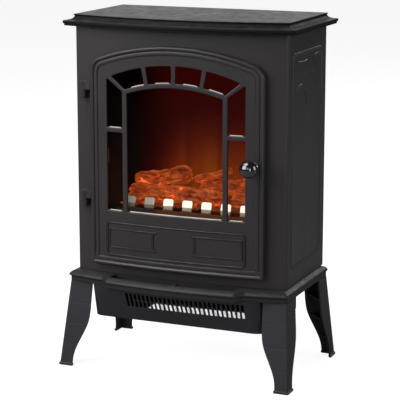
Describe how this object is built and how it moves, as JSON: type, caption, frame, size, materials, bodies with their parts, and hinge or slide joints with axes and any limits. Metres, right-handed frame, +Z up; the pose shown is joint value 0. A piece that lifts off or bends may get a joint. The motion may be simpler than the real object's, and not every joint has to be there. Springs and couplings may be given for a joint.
{
  "type": "electric stove heater",
  "caption": "Free-standing electric stove with a bowed steel body on splayed legs, a hinged arched glazed door, a log-effect firebox and a warm-air grille under the base.",
  "frame": {"origin": "on the floor, under the middle of the overall box", "axes": "+Z up, the glazed front faces -Y, +X to the right as seen from the front"},
  "size_m": [0.3856, 0.2406, 0.55],
  "materials": {
    "body": "satin charcoal paint on sheet steel",
    "top": "satin charcoal paint on a moulded top",
    "base": "satin charcoal paint on a moulded base",
    "legs": "satin charcoal paint on pressed steel",
    "door": "satin charcoal paint on a moulded door",
    "gloss": "polished black",
    "glass": "clear toughened glass",
    "steel": "zinc-plated steel",
    "foil": "bright rolled aluminium",
    "liner": "matt black paint",
    "screen": "translucent flame screen, lit from behind",
    "embers": "translucent ember resin, lit from below",
    "log": "moulded log resin with lit cracks",
    "grate": "cream paint",
    "nylon": "natural nylon",
    "board": "green circuit board",
    "switch": "black moulding",
    "mesh": "bright steel mesh",
    "element": "mica frame with heating ribbon"
  },
  "bodies": {
    "casing": {"base_plate": "base", "front_panel": "body", "left_side_panel": "body", "right_side_panel": "body", "back_cover": "body", "control_panel": "body", "top_plate": "top", "front_left_leg": "legs", "front_right_leg": "legs", "rear_left_leg": "legs", "rear_right_leg": "legs", "outlet_grille": "legs", "upper_hinge_seat": "door", "lower_hinge_seat": "door", "upper_hinge_pin": "steel", "lower_hinge_pin": "steel", "light_reflector": "steel", "spindle_motor": "steel", "fan_motor": "steel", "blower_scroll": "steel", "firebox_floor": "liner", "firebox_roof": "liner", "firebox_left_wall": "liner", "firebox_right_wall": "liner", "outlet_duct": "liner", "flame_screen": "screen", "ember_bed": "embers", "left_back_log": "log", "front_log": "log", "right_back_log": "log", "right_front_log": "log", "top_branch": "log", "fire_grate": "grate", "spindle_bush": "nylon", "terminal_block": "nylon", "thermal_cutout": "nylon", "lamp_board": "board", "switch_body_1": "switch", "switch_body_2": "switch", "switch_body_3": "switch", "thermostat": "switch", "magnet_catch": "switch", "cord_inlet": "switch", "bottom_guard": "mesh", "heating_element": "element"},
    "door": {"door_frame": "door", "door_glass": "glass", "left_glass_clip": "steel", "right_glass_clip": "steel", "strike_plate": "steel", "door_knob": "gloss", "knob_screw": "steel", "upper_hinge_arm": "door", "lower_hinge_arm": "door"},
    "first_rocker": {"rocker_1": "gloss"},
    "second_rocker": {"rocker_2": "gloss"},
    "third_rocker": {"rocker_3": "gloss"},
    "dial": {"thermostat_dial": "gloss"},
    "fan_wheel": {"blower_wheel": "foil"},
    "flame_shaft": {"flame_spindle": "foil"}
  },
  "joints": [
    {"name": "door_swing", "type": "hinge", "parent": "casing", "child": "door", "pos_m": [-0.1575, -0.07465, 0.35], "axis": [0, 0, -1], "range_deg": [0, 110]},
    {"name": "rocker_1_tilt", "type": "hinge", "parent": "casing", "child": "first_rocker", "pos_m": [-0.07, -0.05773, 0.202], "axis": [1, 0, 0], "range_deg": [-20, 0]},
    {"name": "rocker_2_tilt", "type": "hinge", "parent": "casing", "child": "second_rocker", "pos_m": [-0.038, -0.05773, 0.202], "axis": [1, 0, 0], "range_deg": [-20, 0]},
    {"name": "rocker_3_tilt", "type": "hinge", "parent": "casing", "child": "third_rocker", "pos_m": [-0.006, -0.05773, 0.202], "axis": [1, 0, 0], "range_deg": [-20, 0]},
    {"name": "dial_turn", "type": "hinge", "parent": "casing", "child": "dial", "pos_m": [0.06, -0.06073, 0.202], "axis": [0, 1, 0], "range_deg": [0, 270]},
    {"name": "fan_spin", "type": "hinge", "parent": "casing", "child": "fan_wheel", "pos_m": [0.02, 0.04127, 0.196], "axis": [1, 0, 0], "continuous": true},
    {"name": "flame_spin", "type": "hinge", "parent": "casing", "child": "flame_shaft", "pos_m": [0, 0.06427, 0.268], "axis": [1, 0, 0], "continuous": true}
  ]
}
